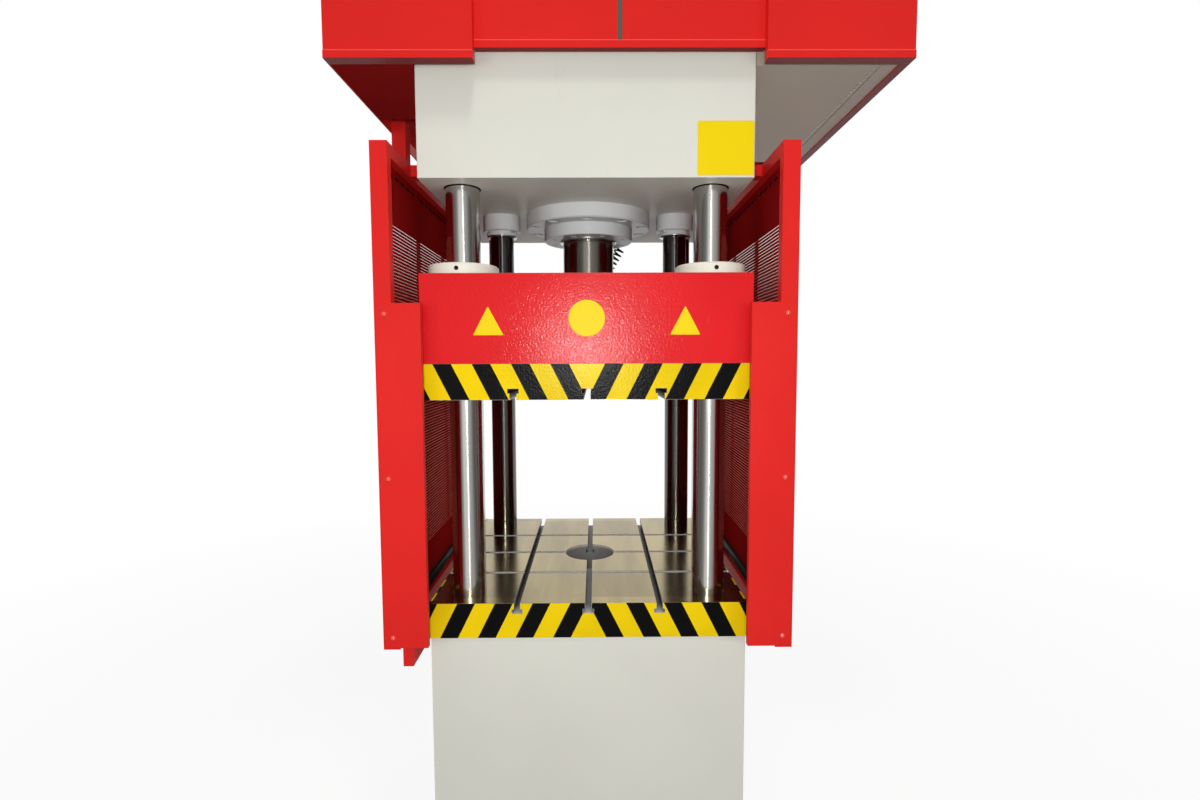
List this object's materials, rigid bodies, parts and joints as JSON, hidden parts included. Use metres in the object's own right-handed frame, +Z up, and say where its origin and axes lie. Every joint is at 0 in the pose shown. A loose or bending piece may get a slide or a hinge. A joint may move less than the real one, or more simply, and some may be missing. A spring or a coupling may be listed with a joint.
{
  "type": "four-column hydraulic press",
  "caption": "Upright column press with T-slotted bed, guided slide driven by a main ram and pull-back rods, slotted side guards and an overhead power-unit canopy.",
  "frame": {"origin": "on the floor under the centre of the bed, on the ram's axis", "axes": "+Z up along the ram, -Y towards the operator, +X to the operator's right"},
  "size_m": [1.502, 1.008, 2.863],
  "materials": {
    "guard_red": "gloss",
    "slide_red": "textured gloss",
    "beige_paint": "satin",
    "cream_paint": "satin",
    "grey_paint": "satin",
    "hard_chrome": "polished",
    "ground_steel": "ground",
    "fastener_steel": "zinc plated",
    "bright_steel": "turned",
    "cast_grey": "cast",
    "motor_blue": "satin",
    "black_plastic": "matte",
    "cable": "satin",
    "rubber": "matte"
  },
  "bodies": {
    "frame": {"base_frame": "beige_paint", "bed_plate": "ground_steel", "cable_gland": "black_plastic", "canopy_beams": "guard_red", "canopy_door_left": "guard_red", "canopy_door_right": "guard_red", "canopy_front_left": "guard_red", "canopy_front_right": "guard_red", "canopy_left_floor": "guard_red", "canopy_left_post": "guard_red", "canopy_left_rail": "guard_red", "canopy_left_side": "guard_red", "canopy_rear": "guard_red", "canopy_right_side": "guard_red", "canopy_roof": "guard_red", "column_bottom_nuts": "fastener_steel", "column_front_left": "hard_chrome", "column_front_right": "hard_chrome", "column_rear_left": "hard_chrome", "column_rear_right": "hard_chrome", "column_top_nuts": "fastener_steel", "crown": "beige_paint", "curly_cable": "cable", "flange_screws": "fastener_steel", "gland_screws": "fastener_steel", "guard_bracket_left": "guard_red", "guard_cover_left": "guard_red", "guard_cover_right": "guard_red", "guard_cover_screws": "fastener_steel", "guard_frame_left": "guard_red", "guard_frame_right": "guard_red", "guard_lower_arms": "guard_red", "guard_panel_left": "guard_red", "guard_panel_right": "guard_red", "guard_seal_left": "rubber", "guard_seal_right": "rubber", "guard_upper_arms": "guard_red", "hydraulic_pump": "cast_grey", "main_cylinder": "grey_paint", "main_gland": "grey_paint", "oil_tank": "beige_paint", "prefill_valve": "cast_grey", "pressure_pipe": "fastener_steel", "pullback_cylinder_left": "grey_paint", "pullback_cylinder_right": "grey_paint", "pullback_screws": "fastener_steel", "pullback_wipers": "bright_steel", "pump_motor": "motor_blue", "ram_wiper": "bright_steel", "valve_block": "cast_grey"},
    "slide": {"cable_socket": "black_plastic", "guide_bush_front_left": "cream_paint", "guide_bush_front_right": "cream_paint", "guide_bush_rear_left": "cream_paint", "guide_bush_rear_right": "cream_paint", "pullback_rod_left": "hard_chrome", "pullback_rod_right": "hard_chrome", "ram": "hard_chrome", "slide_body": "slide_red", "slide_plate": "slide_red"}
  },
  "joints": [
    {"name": "slide_stroke", "type": "slide", "parent": "frame", "child": "slide", "axis": [0, 0, -1], "range_m": [-0.1, 0.4], "deforming": ["curly_cable"]}
  ]
}
